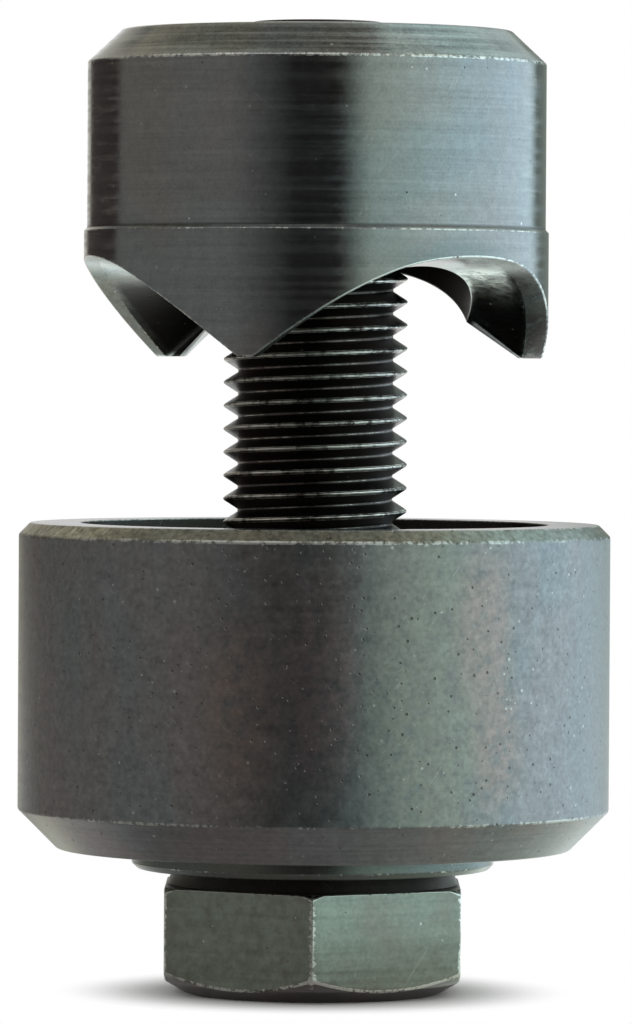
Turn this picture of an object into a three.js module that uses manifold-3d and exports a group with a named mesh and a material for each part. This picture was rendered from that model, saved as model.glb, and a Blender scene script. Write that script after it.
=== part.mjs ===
// Knockout punch: a draw bolt pulls a toothed punch down into a cup-shaped die.
// A thrust ball bearing under the die lets the bolt turn while the die stands still.
// Millimetres, +Z up along the bolt, origin at the middle of the hex head's underside.
// Azimuths are measured from -Y towards +X.

import * as THREE from 'three';
import { mergeVertices } from 'three/addons/utils/BufferGeometryUtils.js';
import Module from 'manifold-3d';

const wasm = await Module();
wasm.setup();

// Draw bolt
const hexAcrossFlats = 19;
const hexHeight = 7.05;
const hexFootInset = 1.55;
const hexShoulderInset = 0.37;
const hexChamferAngle = THREE.MathUtils.degToRad(30);
const collarHeight = 0.98;
const collarInset = 0.1;
const collarTaper = 0.4;
const boltLength = 54.6;
const shankRadius = 6;
const shankLength = 18.97;
const boltEndChamfer = 1.825;

// Thread shared by the bolt and the punch
const threadPitch = 1.5;
const threadAllowance = 0.075;
const threadDepth = 0.925;
const threadFlankAngle = THREE.MathUtils.degToRad(30);
const threadCrestShare = 1 / 8;
const threadClearance = 0.15;
const threadFlankClearance = 0.12;
const threadRootClearance = 0.2;

// Punch
const cutRadius = 15;
const punchBodyRelief = 0.2;
const punchHeight = 21.05;
const punchProud = 0.55;
const toothCount = 3;
const toothDepth = 6.6;
const toothAzimuth = THREE.MathUtils.degToRad(-17.2);
const gulletSpread = 0.6;
const gulletFloorFall = 0.55;
const gulletBoreFall = 4;
const gulletBoreCurve = 1.5;
const landWidth = 1.6;
const landHeight = 8.07;
const gulletFaceWidth = 3.4;
const cavityDepth = 8.55;
const punchChamferWidth = 2.24;
const punchChamferHeight = 2.1;
const mouthMargin = 0.25;

// Die
const dieHeight = 20.96;
const dieFootChamfer = 2.5;
const dieTopChamfer = 0.75;
const cupDepth = 10.5;
const cupClearance = 0.1;
const cupWall = 4;
const boltHoleClearance = 0.35;

// Thrust ball bearing
const ballCount = 14;
const ballRadius = 1.5;
const ballCircleGap = 2.95;
const ballClearance = 0.05;
const raceThickness = 2.3;
const lowerRaceReach = 2.775;
const upperRaceReach = 2.95;
const raceEdgeChamfer = 0.35;
const lowerRaceBoreClearance = 0.25;
const upperRaceBoreClearance = 0.6;
const raceSeatClearance = 0.15;
const raceSeatDepth = 5.3;
const raceGrooveRadius = 1.6;
const raceGrooveDepth = 0.55;
const cageThickness = 1.2;
const cageEdgeClearance = 0.25;
const cageBoreClearance = 0.7;
const pocketClearance = 0.15;

// How far a cutting solid runs past the material that it cuts
const overrun = 1;

// Facets
const gulletSteps = 33;
const threadSteps = 24;
const dieSteps = 72;
const headSteps = 48;
const raceSteps = 42;
const grooveSteps = 4;
const pocketSteps = 12;
const ballSteps = 12;
const ballRings = 6;

// Radii worked out from the hex
const hexCornerRadius = hexAcrossFlats / 2 / Math.cos(Math.PI / 6);
const hexFootRadius = hexAcrossFlats / 2 - hexFootInset;
const hexShoulderRadius = hexCornerRadius - hexShoulderInset;
const collarFootRadius = hexAcrossFlats / 2 - collarInset;
const collarTopRadius = collarFootRadius - collarTaper;

// Radii worked out from the shank
const threadCrestRadius = shankRadius - threadAllowance;
const threadRootRadius = threadCrestRadius - threadDepth;
const boltEndRadius = threadCrestRadius - boltEndChamfer;
const ballCircleRadius = shankRadius + ballCircleGap;
const lowerRaceRadius = ballCircleRadius + lowerRaceReach;
const upperRaceRadius = ballCircleRadius + upperRaceReach;
const cageBoreRadius = shankRadius + cageBoreClearance;
const cageRadius = lowerRaceRadius - cageEdgeClearance;

// Radii worked out from the cut
const punchBodyRadius = cutRadius - punchBodyRelief;
const cavityRadius = cutRadius - landWidth - gulletFaceWidth;
const cupRadius = cutRadius + cupClearance;
const dieRadius = cupRadius + cupWall;

// Heights worked out from the stack: head, bearing, die, and the punch on the bolt's thread
const headHeight = hexHeight + collarHeight;
const boltTop = headHeight + boltLength;
const shankTop = headHeight + shankLength;
const threadStart = shankTop - threadPitch / 2;
const punchTop = boltTop - punchProud;
const tipHeight = punchTop - punchHeight;
const gulletTop = tipHeight + toothDepth;
const cavityTop = tipHeight + cavityDepth;
const lowerRaceTop = headHeight + raceThickness;
const ballHeight = lowerRaceTop - raceGrooveDepth + ballClearance + ballRadius;
const upperRaceBottom = ballHeight + ballRadius + ballClearance - raceGrooveDepth;
const upperRaceTop = upperRaceBottom + raceThickness;
const dieBottom = upperRaceTop - raceSeatDepth;
const dieTop = dieBottom + dieHeight;
const cupFloor = dieTop - cupDepth;

// Materials

function finish(colour, roughness, metalness) {
	return new THREE.MeshStandardMaterial({ color: colour, roughness, metalness });
}

function blackenedSteel() {
	return finish(0x5c6166, 0.42, 0.9);
}

function boltSteel() {
	return finish(0x4a4540, 0.48, 0.9);
}

function raceSteel() {
	return finish(0x7f8d8c, 0.3, 0.95);
}

function ballSteel() {
	return finish(0xc9ced2, 0.12, 1);
}

function cageBrass() {
	return finish(0xb08a45, 0.4, 0.95);
}

// Solids

// A closed solid from a geometry whose facets face out; facets that shrank to a line are left out
function solidOf(geometry) {
	geometry.deleteAttribute('normal');
	geometry.deleteAttribute('uv');
	const joined = mergeVertices(geometry);
	const corners = joined.index.array;
	const triangles = [];
	for (let first = 0; first < corners.length; first += 3) {
		const [a, b, c] = corners.slice(first, first + 3);
		if (a !== b && b !== c && c !== a) {
			triangles.push(a, b, c);
		}
	}
	return new wasm.Manifold(new wasm.Mesh({
		numProp: 3,
		vertProperties: Float32Array.from(joined.attributes.position.array),
		triVerts: Uint32Array.from(triangles),
	}));
}

function meshOf(name, solid, material) {
	const { vertProperties, triVerts } = solid.getMesh();
	const geometry = new THREE.BufferGeometry();
	geometry.setAttribute('position', new THREE.BufferAttribute(Float32Array.from(vertProperties), 3));
	geometry.setIndex(new THREE.BufferAttribute(Uint32Array.from(triVerts), 1));
	geometry.computeVertexNormals();
	const mesh = new THREE.Mesh(geometry, material);
	mesh.name = name;
	return mesh;
}

// A profile of [radius, height] points turned about the Z axis, its first facet edge facing -Y
function turnedGeometry(points, steps) {
	const profile = points.map(([radius, height]) => new THREE.Vector2(radius, height));
	const geometry = new THREE.LatheGeometry(profile, steps);
	geometry.rotateX(Math.PI / 2);
	return geometry;
}

function turned(points, steps) {
	return solidOf(turnedGeometry(points, steps));
}

// A ring: its profile runs up the outside, down the bore and back to where it began
function turnedRing(points, steps) {
	return turned([...points, points[0]], steps);
}

// A threaded rod: a four-cornered section climbs one pitch in each right-hand turn, and its last
// corner joins the first corner of the turn above. The rod starts at threadStart and runs past top.
function threadedRod(rootRadius, crestRadius, crestWidth, top) {
	const rootWidth = crestWidth + 2 * Math.tan(threadFlankAngle) * (crestRadius - rootRadius);
	const section = [
		[rootRadius, -rootWidth / 2],
		[crestRadius, -crestWidth / 2],
		[crestRadius, crestWidth / 2],
		[rootRadius, rootWidth / 2],
	];
	const steps = threadSteps * (Math.ceil((top - threadStart) / threadPitch) + 1);
	const positions = [];
	for (let step = 0; step <= steps; step++) {
		const azimuth = 2 * Math.PI * step / threadSteps;
		const climb = threadStart + threadPitch * step / threadSteps;
		for (const [radius, offset] of section) {
			positions.push(radius * Math.sin(azimuth), -radius * Math.cos(azimuth), climb + offset);
		}
	}
	const vertex = (step, corner) => step * section.length + corner;
	const index = [];
	const addStrip = (lower, upper, count) => {
		for (let step = 0; step < count; step++) {
			const here = lower + vertex(step, 0);
			const above = upper + vertex(step, 0);
			index.push(here, here + section.length, above);
			index.push(above, here + section.length, above + section.length);
		}
	};
	addStrip(vertex(0, 0), vertex(0, 1), steps);
	addStrip(vertex(0, 1), vertex(0, 2), steps);
	addStrip(vertex(0, 2), vertex(0, 3), steps);
	addStrip(vertex(0, 3), vertex(threadSteps, 0), steps - threadSteps);

	// Each end is a cone from a point on the axis to one turn of the rod's edge
	const addEnd = (loop, height) => {
		const centre = positions.length / 3;
		positions.push(0, 0, height);
		loop.forEach((here, place) => index.push(here, loop[(place + 1) % loop.length], centre));
	};
	const bottomLoop = [vertex(0, 1), vertex(0, 2), vertex(0, 3)];
	const topLoop = [];
	for (let step = 0; step <= threadSteps; step++) {
		bottomLoop.push(vertex(threadSteps - step, 0));
		topLoop.push(vertex(steps - threadSteps + step, 3));
	}
	topLoop.push(vertex(steps, 2), vertex(steps, 1), vertex(steps, 0));
	addEnd(bottomLoop, threadStart - threadPitch);
	addEnd(topLoop, threadStart + threadPitch * (steps / threadSteps + 1));

	const geometry = new THREE.BufferGeometry();
	geometry.setAttribute('position', new THREE.Float32BufferAttribute(positions, 3));
	geometry.setIndex(index);
	return solidOf(geometry);
}

// Draw bolt

function hexHead() {
	const prism = new THREE.CylinderGeometry(hexCornerRadius, hexCornerRadius, hexHeight, 6);
	prism.rotateX(Math.PI / 2);
	prism.translate(0, 0, hexHeight / 2);
	const outerRadius = hexCornerRadius + overrun;
	const rise = Math.tan(hexChamferAngle);
	const chamfered = turned([
		[0, 0],
		[hexFootRadius, 0],
		[outerRadius, (outerRadius - hexFootRadius) * rise],
		[outerRadius, hexHeight - (outerRadius - hexShoulderRadius) * rise],
		[hexShoulderRadius, hexHeight],
		[0, hexHeight],
	], headSteps);
	return solidOf(prism).intersect(chamfered);
}

function boltCollar() {
	return turned([
		[0, hexHeight - collarHeight],
		[collarFootRadius, hexHeight - collarHeight],
		[collarFootRadius, hexHeight],
		[collarTopRadius, headHeight],
		[0, headHeight],
	], headSteps);
}

// The plain shank, and above it the thread, trimmed to the bar that the bolt was cut from
function boltShaft() {
	const shank = turned([
		[0, hexHeight],
		[shankRadius, hexHeight],
		[shankRadius, shankTop],
		[threadRootRadius, shankTop + shankRadius - threadRootRadius],
		[0, shankTop + shankRadius - threadRootRadius],
	], threadSteps);
	const bar = turned([
		[0, shankTop - threadPitch / 2],
		[threadCrestRadius, shankTop - threadPitch / 2],
		[threadCrestRadius, boltTop - boltEndChamfer],
		[boltEndRadius, boltTop],
		[0, boltTop],
	], threadSteps);
	const crestWidth = threadPitch * threadCrestShare;
	const rod = threadedRod(threadRootRadius, threadCrestRadius, crestWidth, boltTop);
	return rod.intersect(bar).add(shank);
}

function drawBolt() {
	return meshOf('draw_bolt', hexHead().add(boltCollar()).add(boltShaft()), boltSteel());
}

// Punch

// Azimuth away from the middle of the nearest gullet, up to the middle of a tooth
function azimuthInGullet(azimuth) {
	const gulletAngle = 2 * Math.PI / toothCount;
	return Math.abs(azimuth - gulletAngle * Math.round(azimuth / gulletAngle));
}

// How far the cutting edge lies below the top of its gullet: an arc, cut off flat at the tooth tips
function edgeFall(azimuth) {
	const arcRadius = cutRadius + gulletSpread;
	const sideways = cutRadius * Math.sin(azimuthInGullet(azimuth));
	return Math.min(toothDepth, arcRadius - Math.sqrt(arcRadius ** 2 - sideways ** 2));
}

// The same for the rim of the cavity, which is lower in the gullets and higher behind the teeth
function cavityRimFall(azimuth) {
	const shares = (azimuthInGullet(azimuth) * toothCount / Math.PI) ** gulletBoreCurve;
	return gulletFloorFall + (gulletBoreFall - gulletFloorFall) * shares;
}

function punchBlank() {
	const profile = [
		{ at: [0, cavityTop] },
		{ at: [cavityRadius, cavityTop] },
		{ at: [cavityRadius, tipHeight], fall: cavityRimFall },
		{ at: [cutRadius - landWidth, tipHeight], fall: edgeFall },
		{ at: [cutRadius, tipHeight], fall: edgeFall },
		{ at: [cutRadius, tipHeight + landHeight] },
		{ at: [punchBodyRadius, tipHeight + landHeight + cutRadius - punchBodyRadius] },
		{ at: [punchBodyRadius, punchTop - punchChamferHeight] },
		{ at: [punchBodyRadius - punchChamferWidth, punchTop] },
		{ at: [0, punchTop] },
	];
	const geometry = turnedGeometry(profile.map(({ at }) => at), toothCount * gulletSteps);
	const positions = geometry.attributes.position;
	for (let vertex = 0; vertex < positions.count; vertex++) {
		const { fall } = profile[vertex % profile.length];
		if (fall) {
			const azimuth = Math.atan2(positions.getX(vertex), -positions.getY(vertex));
			positions.setZ(vertex, gulletTop - fall(azimuth));
		}
	}
	geometry.rotateZ(toothAzimuth - Math.PI / toothCount);
	return solidOf(geometry);
}

// The tapped hole: the bolt's own thread made larger all round, and a countersink at each mouth
function tappedHole() {
	const boreRadius = threadRootRadius + threadRootClearance;
	const grooveRadius = threadCrestRadius + threadClearance;
	const taper = 2 * Math.tan(threadFlankAngle) * threadClearance;
	const grooveWidth = threadPitch * threadCrestShare + 2 * threadFlankClearance - taper;
	const mouthRadius = grooveRadius + mouthMargin;
	const mouthDepth = mouthRadius - boreRadius;
	const mouths = turned([
		[0, cavityTop - overrun],
		[mouthRadius, cavityTop - overrun],
		[mouthRadius, cavityTop],
		[boreRadius, cavityTop + mouthDepth],
		[boreRadius, punchTop - mouthDepth],
		[mouthRadius, punchTop],
		[mouthRadius, punchTop + overrun],
		[0, punchTop + overrun],
	], threadSteps);
	return threadedRod(boreRadius, grooveRadius, grooveWidth, punchTop).add(mouths);
}

function punch() {
	return meshOf('punch', punchBlank().subtract(tappedHole()), blackenedSteel());
}

// Die

function die() {
	const holeRadius = shankRadius + boltHoleClearance;
	const seatRadius = upperRaceRadius + raceSeatClearance;
	const ring = turnedRing([
		[dieRadius - dieFootChamfer, dieBottom],
		[dieRadius, dieBottom + dieFootChamfer],
		[dieRadius, dieTop - dieTopChamfer],
		[dieRadius - dieTopChamfer, dieTop],
		[cupRadius, dieTop],
		[cupRadius, cupFloor],
		[holeRadius, cupFloor],
		[holeRadius, upperRaceTop],
		[seatRadius, upperRaceTop],
		[seatRadius, dieBottom],
	], dieSteps);
	return meshOf('die', ring, blackenedSteel());
}

// Thrust ball bearing

// The ball groove's points from the inner edge of a race's face to the outer one;
// up is 1 where the groove opens upwards and -1 where it opens downwards
function groovePoints(faceHeight, up) {
	const halfAngle = Math.acos((raceGrooveRadius - raceGrooveDepth) / raceGrooveRadius);
	const centreHeight = faceHeight + up * (raceGrooveRadius - raceGrooveDepth);
	const points = [];
	for (let step = 0; step <= grooveSteps; step++) {
		const angle = halfAngle * (2 * step / grooveSteps - 1);
		points.push([
			ballCircleRadius + raceGrooveRadius * Math.sin(angle),
			centreHeight - up * raceGrooveRadius * Math.cos(angle),
		]);
	}
	return points;
}

function lowerRace() {
	const boreRadius = shankRadius + lowerRaceBoreClearance;
	const ring = turnedRing([
		[boreRadius, headHeight],
		[lowerRaceRadius - raceEdgeChamfer, headHeight],
		[lowerRaceRadius, headHeight + raceEdgeChamfer],
		[lowerRaceRadius, lowerRaceTop],
		...groovePoints(lowerRaceTop, 1).reverse(),
		[boreRadius, lowerRaceTop],
	], raceSteps);
	return meshOf('lower_race', ring, raceSteel());
}

function upperRace() {
	const boreRadius = shankRadius + upperRaceBoreClearance;
	const ring = turnedRing([
		[boreRadius, upperRaceBottom],
		...groovePoints(upperRaceBottom, -1),
		[upperRaceRadius, upperRaceBottom],
		[upperRaceRadius, upperRaceTop - raceEdgeChamfer],
		[upperRaceRadius - raceEdgeChamfer, upperRaceTop],
		[boreRadius, upperRaceTop],
	], raceSteps);
	return meshOf('upper_race', ring, raceSteel());
}

function ballAzimuth(ball) {
	return 2 * Math.PI * ball / ballCount;
}

function ballCage() {
	const pocketRadius = ballRadius + pocketClearance;
	let cage = turnedRing([
		[cageRadius, ballHeight - cageThickness / 2],
		[cageRadius, ballHeight + cageThickness / 2],
		[cageBoreRadius, ballHeight + cageThickness / 2],
		[cageBoreRadius, ballHeight - cageThickness / 2],
	], raceSteps);
	for (let ball = 0; ball < ballCount; ball++) {
		const pocket = new THREE.CylinderGeometry(
			pocketRadius, pocketRadius, cageThickness + 2 * overrun, pocketSteps);
		pocket.rotateX(Math.PI / 2);
		pocket.translate(0, -ballCircleRadius, ballHeight);
		pocket.rotateZ(ballAzimuth(ball));
		cage = cage.subtract(solidOf(pocket));
	}
	return meshOf('ball_cage', cage, cageBrass());
}

function ball(number) {
	const sphere = new THREE.SphereGeometry(ballRadius, ballSteps, ballRings);
	sphere.rotateX(Math.PI / 2);
	const mesh = meshOf(`ball_${String(number + 1).padStart(2, '0')}`, solidOf(sphere), ballSteel());
	mesh.position.set(0, -ballCircleRadius, ballHeight);
	mesh.position.applyAxisAngle(new THREE.Vector3(0, 0, 1), ballAzimuth(number));
	return mesh;
}

// The whole tool

const group = new THREE.Group();
group.name = 'knockout_punch';
group.add(punch(), die(), drawBolt(), lowerRace(), upperRace(), ballCage());
for (let number = 0; number < ballCount; number++) {
	group.add(ball(number));
}

export default group;
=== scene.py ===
# Knockout punch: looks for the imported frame, on a pale studio floor.
# Pieces are drawn in millimetres around the bolt's axis and handed over in metres.
# Azimuths are in degrees from -Y towards +X.
from math import atan, cos, degrees, pi, radians, sin, sqrt, tan

import bmesh
import bpy
from mathutils import Matrix, Vector


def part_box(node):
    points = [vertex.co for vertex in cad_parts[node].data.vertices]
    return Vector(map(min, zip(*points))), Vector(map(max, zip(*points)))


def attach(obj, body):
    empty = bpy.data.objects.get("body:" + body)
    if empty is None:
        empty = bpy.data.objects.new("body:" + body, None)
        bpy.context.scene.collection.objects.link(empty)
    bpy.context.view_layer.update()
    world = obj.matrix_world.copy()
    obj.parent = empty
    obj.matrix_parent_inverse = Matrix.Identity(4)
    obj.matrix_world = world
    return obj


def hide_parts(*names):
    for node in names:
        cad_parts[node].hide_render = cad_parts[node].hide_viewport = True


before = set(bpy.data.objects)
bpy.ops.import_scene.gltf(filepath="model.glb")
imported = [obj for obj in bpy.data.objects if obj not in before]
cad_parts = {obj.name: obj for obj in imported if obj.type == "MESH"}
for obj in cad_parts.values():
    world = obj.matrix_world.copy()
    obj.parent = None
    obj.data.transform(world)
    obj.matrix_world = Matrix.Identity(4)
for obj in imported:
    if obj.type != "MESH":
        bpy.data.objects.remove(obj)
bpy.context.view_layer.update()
mm = 0.001
scene = bpy.context.scene
sharpAngle = 32  # degrees between two faces from which the edge stays sharp
longestRound = 0.3  # share of the shorter neighbour that a rounded corner may take
weldGap = 0.0005  # millimetres, as is the next
leastEdge = 0.0001
slack = 0.001  # by which a face's middle may pass a limit


def bottomOf(node):
    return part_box(node)[0].z / mm


def topOf(node):
    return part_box(node)[1].z / mm


print("frame loaded:", len(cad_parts), "nodes")


# How far a value has come from one limit to the other
def gained(value, first, last):
    return min(max((value - first) / (last - first), 0), 1)


def mixed(first, last, share):
    return first + (last - first) * share


# Rows of (radius, height, wear) along a profile whose corners are (radius, height, fillet, wear).
# Wear above 0 rubs an edge bare, and wear below 0 is painted shade, a darker colour laid into recesses
# and creases.
def roundedProfile(corners, closed=False, arcSteps=3):
    rows = []
    for place, (radius, height, fillet, wear) in enumerate(corners):
        here = Vector((radius, height))
        atEnd = not closed and place in (0, len(corners) - 1)
        if atEnd or fillet == 0:
            rows.append((radius, height, wear))
            continue
        before = Vector(corners[place - 1][:2]) - here
        after = Vector(corners[(place + 1) % len(corners)][:2]) - here
        reach = min(fillet, longestRound * before.length, longestRound * after.length)
        start = here + before.normalized() * reach
        end = here + after.normalized() * reach
        first = start + before.normalized() * reach / 2
        last = end + after.normalized() * reach / 2
        rows.append((*first, min(0, wear)))
        for step in range(arcSteps + 1):
            share = step / arcSteps
            point = start * (1 - share) ** 2 + here * 2 * share * (1 - share) + end * share ** 2
            rows.append((*point, wear))
        rows.append((*last, min(0, wear)))
    if closed:
        rows.append(rows[0])
    return rows


def around(azimuth, radius, height):
    return Vector((radius * sin(radians(azimuth)), -radius * cos(radians(azimuth)), height))


def evenAzimuths(count):
    return [360 * step / count for step in range(count)]


# A grid of quads: columns of (point, wear), joined to each other and, if closed, back to the first
def addGrid(shell, columns, closed=True):
    worn = shell.verts.layers.float.get("wear") or shell.verts.layers.float.new("wear")
    grid = []
    for column in columns:
        grid.append([])
        for point, wear in column:
            vertex = shell.verts.new(point)
            vertex[worn] = wear
            grid[-1].append(vertex)
    pairs = list(zip(grid, grid[1:])) + ([(grid[-1], grid[0])] if closed else [])
    for here, there in pairs:
        for row in range(len(here) - 1):
            shell.faces.new((here[row], there[row], there[row + 1], here[row + 1]))


# A turned shell: profileAt gives the rows at an azimuth
def addTurned(shell, azimuths, profileAt):
    columns = [[(around(azimuth, radius, height), wear) for radius, height, wear in profileAt(azimuth)]
               for azimuth in azimuths]
    addGrid(shell, columns)


# A right-hand thread between two heights. section holds the corners of one pitch as (radius, offset,
# fillet, wear). trim changes a radius by its height, and makes a plain circle of both ends.
def addThread(shell, section, low, high, trim):
    rows = roundedProfile(section, arcSteps=2)
    steps = thread["stepsPerTurn"]
    turnsBelow = int((thread["start"] - low) / thread["pitch"]) + 2
    turnsAbove = int((high - thread["start"]) / thread["pitch"]) + 2
    columns = []
    for step in range(-turnsBelow * steps, turnsAbove * steps + 1):
        climb = thread["start"] + thread["pitch"] * step / steps
        column = []
        for radius, offset, wear in rows:
            height = min(max(climb + offset, low), high)
            reach = trim(radius, height)
            whole = reach == radius and low < height < high
            column.append((around(360 * (step % steps) / steps, reach, height), wear if whole else 0))
        columns.append(column)
    addGrid(shell, columns, closed=False)


# Welds the shell, turns it to face out and hands it over in metres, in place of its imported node
def finishPiece(name, shell, steel, body, node):
    bmesh.ops.remove_doubles(shell, verts=shell.verts, dist=weldGap)
    bmesh.ops.dissolve_degenerate(shell, edges=shell.edges, dist=leastEdge)
    bmesh.ops.recalc_face_normals(shell, faces=shell.faces)
    bmesh.ops.scale(shell, verts=shell.verts, vec=(mm, mm, mm))
    mesh = bpy.data.meshes.new(name)
    shell.to_mesh(mesh)
    shell.free()
    mesh.shade_smooth()
    mesh.set_sharp_from_angle(angle=radians(sharpAngle))
    mesh.materials.append(steels[steel])
    piece = bpy.data.objects.new(name, mesh)
    scene.collection.objects.link(piece)
    weighted = piece.modifiers.new("flatFaces", "WEIGHTED_NORMAL")
    weighted.keep_sharp = True
    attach(piece, body)
    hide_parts(node)
    print(name, "made:", len(mesh.polygons), "faces")
    return piece


# chosen names each face's steel, from its middle's radius and height and from how far it faces up
def dressFaces(piece, chosen):
    places = {piece.data.materials[0].name: 0}
    for face in piece.data.polygons:
        middle = face.center / mm
        name = chosen(sqrt(middle.x ** 2 + middle.y ** 2), middle.z, face.normal.z)
        if name not in places:
            places[name] = len(places)
            piece.data.materials.append(steels[name])
        face.material_index = places[name]


# A number that varies over a surface: one output of a node, with the sums that the finishes use
class Reading:
    def __init__(self, tree, socket):
        self.tree = tree
        self.socket = socket

    def worked(self, operation, first, second, clamped=False):
        node = self.tree.nodes.new("ShaderNodeMath")
        node.operation = operation
        node.use_clamp = clamped
        connect(self.tree, node.inputs[0], first)
        connect(self.tree, node.inputs[1], second)
        return Reading(self.tree, node.outputs[0])

    def __add__(self, other):
        return self.worked("ADD", self, other)

    def __radd__(self, other):
        return self.worked("ADD", other, self)

    def __sub__(self, other):
        return self.worked("SUBTRACT", self, other)

    def __rsub__(self, other):
        return self.worked("SUBTRACT", other, self)

    def __mul__(self, other):
        return self.worked("MULTIPLY", self, other)

    def __rmul__(self, other):
        return self.worked("MULTIPLY", other, self)

    def __truediv__(self, other):
        return self.worked("DIVIDE", self, other)

    def clamped(self):
        return self.worked("ADD", self, 0, clamped=True)


def connect(tree, slot, value):
    if isinstance(value, Reading):
        tree.links.new(value.socket, slot)
    elif isinstance(value, tuple) and len(value) == 3 and slot.type == "RGBA":
        slot.default_value = (*value, 1)
    else:
        slot.default_value = value


# The nodes of one material or of the world
class Finish:
    def __init__(self, owner):
        owner.use_nodes = True
        self.owner = owner
        self.tree = owner.node_tree
        self.tree.nodes.clear()

    # settings come first; inputs are values or links by name or number
    def add(self, kind, settings=None, inputs=None, output=0):
        node = self.tree.nodes.new(kind)
        for name, value in (settings or {}).items():
            setattr(node, name, value)
        for name, value in (inputs or {}).items():
            connect(self.tree, node.inputs[name], value)
        return Reading(self.tree, node.outputs[output]) if node.outputs else None

    # Object coordinates in millimetres
    def place(self):
        return self.scaled(self.add("ShaderNodeTexCoord", output="Object"), 1 / mm)

    def scaled(self, vector, factor):
        return self.add("ShaderNodeVectorMath", {"operation": "SCALE"}, {0: vector, "Scale": factor})

    def length(self, vector):
        return self.add("ShaderNodeVectorMath", {"operation": "LENGTH"}, {0: vector}, output="Value")

    def split(self, vector):
        node = self.add("ShaderNodeSeparateXYZ", inputs={0: vector}).socket.node
        return [Reading(self.tree, output) for output in node.outputs]

    def joined(self, x, y, z):
        return self.add("ShaderNodeCombineXYZ", inputs={"X": x, "Y": y, "Z": z})

    def noise(self, vector, scale=1.0, detail=2.0, roughness=0.5, distortion=0.0):
        return self.add("ShaderNodeTexNoise", inputs={
            "Vector": vector, "Scale": scale, "Detail": detail,
            "Roughness": roughness, "Distortion": distortion})

    def ramp(self, value, low, high):
        return self.add("ShaderNodeMapRange", {"interpolation_type": "SMOOTHSTEP"}, {
            "Value": value, "From Min": low, "From Max": high})

    def blend(self, share, first, second, kind="MIX"):
        return self.add("ShaderNodeMix", {"data_type": "RGBA", "blend_type": kind},
                        {0: share, 6: first, 7: second}, output=2)

    # Scattered round spots: share of the cells that hold one, and its radius in cells
    def spots(self, vector, scale, share, radius):
        node = self.add("ShaderNodeTexVoronoi", inputs={"Vector": vector, "Scale": scale}).socket.node
        chance, size, _ = self.split(Reading(self.tree, node.outputs["Color"]))
        distance = Reading(self.tree, node.outputs["Distance"])
        smallest, solidShare, softness = 0.4, 0.5, 0.02
        reach = radius * (smallest + (1 - smallest) * size)
        chosen = self.ramp(chance, 1 - share, 1 - share + softness)
        return (1 - self.ramp(distance / reach, solidShare, 1.0)) * chosen

    # Thin streaks along a direction, of a width in millimetres and so many widths long
    def scratches(self, place, direction, width, length, share):
        along = self.add("ShaderNodeVectorMath", {"operation": "DOT_PRODUCT"},
                         {0: place, 1: direction}, output="Value")
        back = self.scaled(direction, along * (1 / length - 1))
        squeezed = self.add("ShaderNodeVectorMath", {"operation": "ADD"}, {0: place, 1: back})
        softness = 0.04
        streaks = self.noise(squeezed, 0.5 / width, detail=1.0)
        return self.ramp(streaks, 1 - share, 1 - share + softness)

    # 1 at a point on the surface, given by its azimuth, radius and height, and 0 beyond its reach
    def spotAt(self, place, azimuth, radius, height, reach, stretch):
        away = self.add("ShaderNodeVectorMath", {"operation": "SUBTRACT"},
                        {0: place, 1: tuple(around(azimuth, radius, height))})
        squeezed = self.add("ShaderNodeVectorMath", {"operation": "DIVIDE"}, {0: away, 1: stretch})
        solidShare = 0.35
        return 1 - self.ramp(self.length(squeezed) / reach, solidShare, 1.0)

    # Marks are what spotAt takes, and a value at a mark's end stays beside its spot
    def spotsAt(self, place, marks):
        return [(self.spotAt(place, *mark[:5]), *mark[5:]) for mark in marks]

    def attribute(self, name):
        return self.add("ShaderNodeAttribute", {"attribute_name": name}, output="Fac")


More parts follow.
